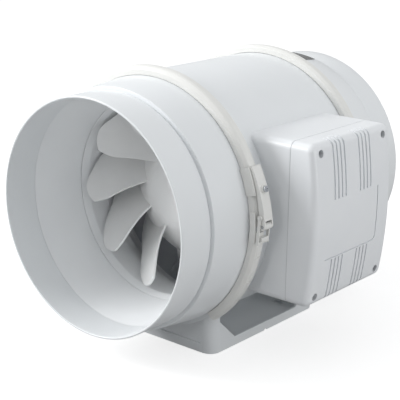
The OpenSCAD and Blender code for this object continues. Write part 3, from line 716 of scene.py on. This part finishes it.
band = {"profile": [(132.1, -7.4, 0.4), (137.6, -7.4, 1.2), (141, -4.8, 1.5), (141.8, -2.2, 1.5),
                    (141.8, 3.8, 1.6), (139.5, 7.4, 0.8), (133.6, 7.4, 0.4), (133.6, 6.1, 0.4),
                    (136.3, 4.5, 0.5), (136.3, -4.6, 0.5), (132.1, -6, 0.4)],
        "band": (0.6, 232), "tail": (-52, -2.2), "topR": 141.8,
        "guardR": (133.7, 140.6), "guard": (-8.8, -7.4), "guardEnds": (-6.5, 6.5),
        "marks": (-13, -25, -36, -47), "markDepth": 0.7, "markWide": 0.9}


def arc(name, r0, r1, w0, w1, ends, ease=0.4):
    # a curved plate round the duct
    sweep = ends[1] - ends[0]
    corners = [(r0, w0, ease), (r1, w0, ease), (r1, w1, ease), (r0, w1, ease)]
    return turned(name, corners, ends[0], sweep, max(6, round(sweep / 2)))


def makeClamp(end, y, side, s):
    profile = [(r, y + side * w, ease) for r, w, ease in s["profile"]]
    long = turned(end + "ClampBand", profile, s["band"][0], s["band"][1] - s["band"][0], 180)
    smoothed(long)
    fitted(long, clampPlastic, "fan_body", "clamp_plastic", end + "_clamp_band")
    short = turned(end + "ClampTail", profile, s["tail"][0], s["tail"][1] - s["tail"][0], 48)
    half = s["markWide"] / 2
    for a in s["marks"]:
        cutter = block("mark", (s["topR"] - s["markDepth"], y - 9, -half), (s["topR"] + 3, y + 9, half))
        boolean(short, spun(cutter, a))
    w0, w1 = (y + side * w for w in s["guard"])
    guard = arc(end + "Guard", *s["guardR"], w0, w1, s["guardEnds"])
    tailPiece = smoothed(merged([short, guard], end + "ClampTail"))
    fitted(tailPiece, clampPlastic, "fan_body", "clamp_plastic", end + "_clamp_tail")


def makeLatch(end, y):
    pieces = (("latch_base", "LatchBase", "fan_body", 0.35), ("latch_catch", "LatchCatch", "fan_body", 0.4),
              ("latch_lever", "LatchLever", end + "_lever", 0.45),
              ("latch_link", "LatchLink", end + "_link", 0.3))
    for node, name, body, width in pieces:
        piece = fromFrame(end + "_" + node, end + name, width)
        fitted(piece, clampPlastic, body, "clamp_plastic", end + "_" + node)
    screw = fromFrame(end + "_latch_screw", end + "LatchScrew", 0.25)
    fitted(screw, brightSteel, end + "_lever", "bright_screw", end + "_latch_screw")


for end, y, side in (("front", jointY, 1), ("rear", ductLength - jointY, -1)):
    makeClamp(end, y, side, band)
    makeLatch(end, y)
print("clamps made")

# ---- wiring box

cover = {"corner": 8, "edge": 6.5, "sag": 6, "sagAt": 73.5, "wall": 2.5, "rows": 28,
         "screwY": 56.5, "screwZ": 73.5, "recessR": 4, "recessFloor": 173, "bossR": 6.2, "holeR": 2.1,
         "groupY": (165.5, 211.5), "pitch": 6.5, "perGroup": 4, "grooveWide": 2.3, "grooveDeep": 1.9,
         "topEnd": 24, "bottomEnd": -38, "fadeX": 166,
         "panelY": (143, 235), "panelZ": (23, -36), "panelCorner": 5, "panelWide": 1.6, "panelDeep": 1.5}


def makeCover(s):
    low, high = reach("terminal_box_cover")
    crownR = (s["sagAt"] ** 2 + s["sag"] ** 2) / (2 * s["sag"])

    def drop(z):
        return crownR - sqrt(crownR ** 2 - z ** 2)

    def faceX(z):
        return high.x - drop(z)

    piece = block("boxCover", low, high)
    seam = low.x * mm + 1e-5
    longEdge = (high.z - low.z - 2 * s["corner"]) * mm * 0.9

    def ends(edge):
        return [piece.data.vertices[v].co for v in edge.vertices]

    # the four edges along X, then the edges round the face
    chosen(piece, "EDGE", lambda edge: abs(ends(edge)[0].x - ends(edge)[1].x) > 1e-4)
    bpy.ops.mesh.bevel(offset=s["corner"] * mm, segments=7, profile=0.5)
    chosen(piece, "EDGE", lambda edge: min(end.x for end in ends(edge)) > high.x * mm - 1e-5)
    bpy.ops.mesh.bevel(offset=s["edge"] * mm, segments=6, profile=0.5)
    chosen(piece, "EDGE", lambda edge: abs(ends(edge)[0].z - ends(edge)[1].z) > longEdge)
    bpy.ops.mesh.subdivide(number_cuts=s["rows"])
    bpy.ops.object.mode_set(mode="OBJECT")
    for v in piece.data.vertices:
        if v.co.x > seam:
            v.co.x -= drop(v.co.z / mm) * mm
    blank = copied(piece, "coverBlank")
    chosen(piece, "FACE", lambda face: face.normal.x < -0.9)
    bpy.ops.mesh.delete(type="FACE")
    bpy.ops.object.mode_set(mode="OBJECT")
    applied(piece, "SOLIDIFY", thickness=s["wall"] * mm, offset=-1, use_even_offset=True)
    spots = [(middleY + i * s["screwY"], k * s["screwZ"]) for i in (-1, 1) for k in (-1, 1)]
    bosses = merged([rod("boss", s["bossR"], "X", spot, low.x, high.x + 5) for spot in spots], "bosses")
    boolean(bosses, blank, "INTERSECT")
    boolean(piece, bosses, "UNION")
    for spot in spots:
        boolean(piece, rod("recess", s["recessR"], "X", spot, s["recessFloor"], high.x + 10))
        boolean(piece, rod("hole", s["holeR"], "X", spot, low.x - 2, high.x + 10, 24))

    def grooveLine(z0, way, depth):
        # the groove's floor: under the crown, round the edge and out on the side face
        flat = high.z - s["edge"]
        points = [(faceX(z) - depth, way * z) for z in [mix(way * z0, flat, i / 8) for i in range(9)]]
        inner = s["edge"] - depth
        for a in range(15, 91, 15):
            z = flat + inner * sin(radians(a))
            points.append((high.x - s["edge"] - drop(z) + inner * cos(radians(a)), way * z))
        points.append((s["fadeX"], way * (high.z + 0.4)))
        past = way * (high.z + 12)
        return points + [(s["fadeX"], past), (high.x + 12, past), (high.x + 12, z0)]

    cutters = []
    for centre in s["groupY"]:
        for i in range(s["perGroup"]):
            y = centre + (i - (s["perGroup"] - 1) / 2) * s["pitch"]
            for z0, way in ((s["topEnd"], 1), (s["bottomEnd"], -1)):
                cutters.append(pushed("groove", grooveLine(z0, way, s["grooveDeep"]), "Y",
                                      y - s["grooveWide"] / 2, y + s["grooveWide"] / 2))
    boolean(piece, merged(cutters, "grooves"))
    # the panel outline: a line down, a round corner and a line along
    y0, y1 = s["panelY"]
    z1, z0 = s["panelZ"]
    half, turn = s["panelWide"] / 2, s["panelCorner"]
    rows = [mix(z0 + turn, z1, i / 6) for i in range(7)]
    down = [(faceX(z) - s["panelDeep"], z) for z in rows] + [(high.x + 5, z1), (high.x + 5, z0 + turn)]
    boolean(piece, pushed("panelSide", down, "Y", y1 - half, y1 + half))
    along = [(y0, z0 - half), (y1 + half, z0 - half, turn + half), (y1 + half, z0 + turn + 0.2),
             (y1 - half, z0 + turn + 0.2), (y1 - half, z0 + half, turn - half), (y0, z0 + half)]
    boolean(piece, pushed("panelFoot", along, "X", faceX(z0) - s["panelDeep"], high.x + 5))
    smoothed(piece, 28)
    fitted(piece, boxPlastic, "fan_body", "moulded_box", "terminal_box_cover")


makeCover(cover)
boxBase = fromFrame("terminal_box_base", "boxBase", 0.5)
fitted(boxBase, boxPlastic, "fan_body", "moulded_box", "terminal_box_base")
# the cover screws wear the steel drawn dark grey, painted shade of the recesses they sit in
coverScrews = fromFrame("cover_screws", "coverScrews", 0.25)
fitted(coverScrews, recessShadeSteel, "fan_body", "bright_screw", "cover_screws")
for node, name, material, slotName in (("cable_gland", "cableGland", glandPlastic, "gland_plastic"),
                                       ("gland_nut", "glandNut", glandPlastic, "gland_plastic"),
                                       ("gland_seal", "glandSeal", rubber, "seal_rubber")):
    fitted(fromFrame(node, name, 0.5), material, "fan_body", slotName, node)
print("wiring box made")

# ---- bracket and label

bracket = fromFrame("mounting_bracket", "mountingBracket", 0.7)
fitted(bracket, shellPlastic, "fan_body", "moulded_shell", "mounting_bracket")
labelPiece = fromFrame("blank_label", "blankLabel", 0.1)
fitted(labelPiece, labelFilm, "fan_body", "label_film", "blank_label")

# ---- finishes of the CAD nodes that stay

finishes = {
    "front_seal": gasketPlastic, "rear_seal": gasketPlastic, "cover_gasket": gasketPlastic,
    "lead_grommet": rubber, "impeller_nut": brightSteel, "motor_screws": brightSteel,
    "box_base_screws": brightSteel, "motor_shaft": groundSteel, "motor_rotor": groundSteel,
    "front_bearing": groundSteel, "rear_bearing": groundSteel,
    "front_latch_pin": groundSteel, "rear_latch_pin": groundSteel, "motor_stator": coreSteel,
    "motor_windings": copperWire, "motor_housing": castAluminium, "motor_end_cap": castAluminium,
    "capacitor_clip": castAluminium, "capacitor": drawnAluminium, "terminal_block": blockPlastic,
    "terminal_screws": plainBrass, "motor_lead": leadSheath}
for node, material in finishes.items():
    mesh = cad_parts[node].data
    mesh.materials.clear()
    mesh.materials.append(material)
print("finishes set")

# ---- studio

studio = {"world": 0.70, "floor": 0.45, "floorGlow": 0.70,
          "flag": {"place": (1.0, -1.5, 0.35), "aim": (0.1, 0.1, 0.0), "size": 1.5, "colour": "#3A3C3F"}}
lights = [
    ("topSoftbox", (-0.3, -0.2, 1.7), (0.0, 0.15, 0.0), 1.6, 1.0, 3),
    ("keyLeft", (-1.8, -1.4, 1.2), (0.0, 0.1, 0.0), 1.0, 1.0, 54),
    ("frontSmall", (0.35, -1.9, 0.55), (0.0, 0.1, 0.0), 0.2, 0.2, 5),
    ("sideLow", (2.0, 0.6, 0.2), (0.0, 0.2, 0.0), 0.8, 1.6, 12),
]


def makeStudio(s):
    world = bpy.data.worlds.new("whiteStudio")
    bpy.context.scene.world = world
    world.use_nodes = True
    tree = world.node_tree
    tree.nodes.clear()
    # the backdrop reads as white, and lights the object more softly
    path = addNode(tree, "ShaderNodeLightPath")
    strength = addNode(tree, "ShaderNodeMapRange", {"To Min": s["world"], "To Max": 1.0},
                       {"Value": (path, "Is Camera Ray")})
    glow = addNode(tree, "ShaderNodeBackground", {"Color": (0.98, 0.99, 1.0, 1)},
                   {"Strength": (strength, "Result")})
    addNode(tree, "ShaderNodeOutputWorld", None, {"Surface": (glow, "Background")})
    bpy.ops.object.select_all(action="DESELECT")
    bpy.ops.mesh.primitive_plane_add(size=30, location=(0, 0, (floorZ - 0.05) * mm))
    floor = named("studioFloor")
    material = bpy.data.materials.new("paleFloor")
    material.use_nodes = True
    tree = material.node_tree
    tree.nodes.clear()
    path = addNode(tree, "ShaderNodeLightPath")
    matt = addNode(tree, "ShaderNodeBsdfDiffuse", {"Color": (s["floor"],) * 3 + (1,)})
    strength = addNode(tree, "ShaderNodeMapRange", {"To Max": s["floorGlow"]},
                       {"Value": (path, "Is Camera Ray")})
    glow = addNode(tree, "ShaderNodeEmission", None, {"Strength": (strength, "Result")})
    both = addNode(tree, "ShaderNodeAddShader", None, {0: (matt, "BSDF"), 1: (glow, "Emission")})
    addNode(tree, "ShaderNodeOutputMaterial", None, {"Surface": (both, "Shader")})
    floor.data.materials.append(material)
    # a dark card beside the camera, for the deeper tones down the box's near side
    card = s["flag"]
    bpy.ops.mesh.primitive_plane_add(size=card["size"])
    flag = named("studioFlag")
    facing = (Vector(card["aim"]) - Vector(card["place"])).to_track_quat("Z", "Y").to_matrix().to_4x4()
    flag.data.transform(Matrix.Translation(card["place"]) @ facing)
    cardBlack = newMaterial("mattBlackCard", Base_Color=linear(card["colour"]), Roughness=0.9)[0]
    flag.data.materials.append(cardBlack)
    # it only takes light away, and stays out of the views from behind
    flag.visible_camera = False
    for name, place, aim, wide, tall, power in lights:
        bpy.ops.object.light_add(type="AREA", location=place)
        lamp = bpy.context.object
        lamp.name = name
        lamp.rotation_euler = (Vector(aim) - Vector(place)).to_track_quat("-Z", "Y").to_euler()
        lamp.data.shape = "RECTANGLE"
        lamp.data.size, lamp.data.size_y = wide, tall
        lamp.data.energy = power
    bpy.context.scene.view_settings.view_transform = "Standard"


makeStudio(studio)
print("studio ready")
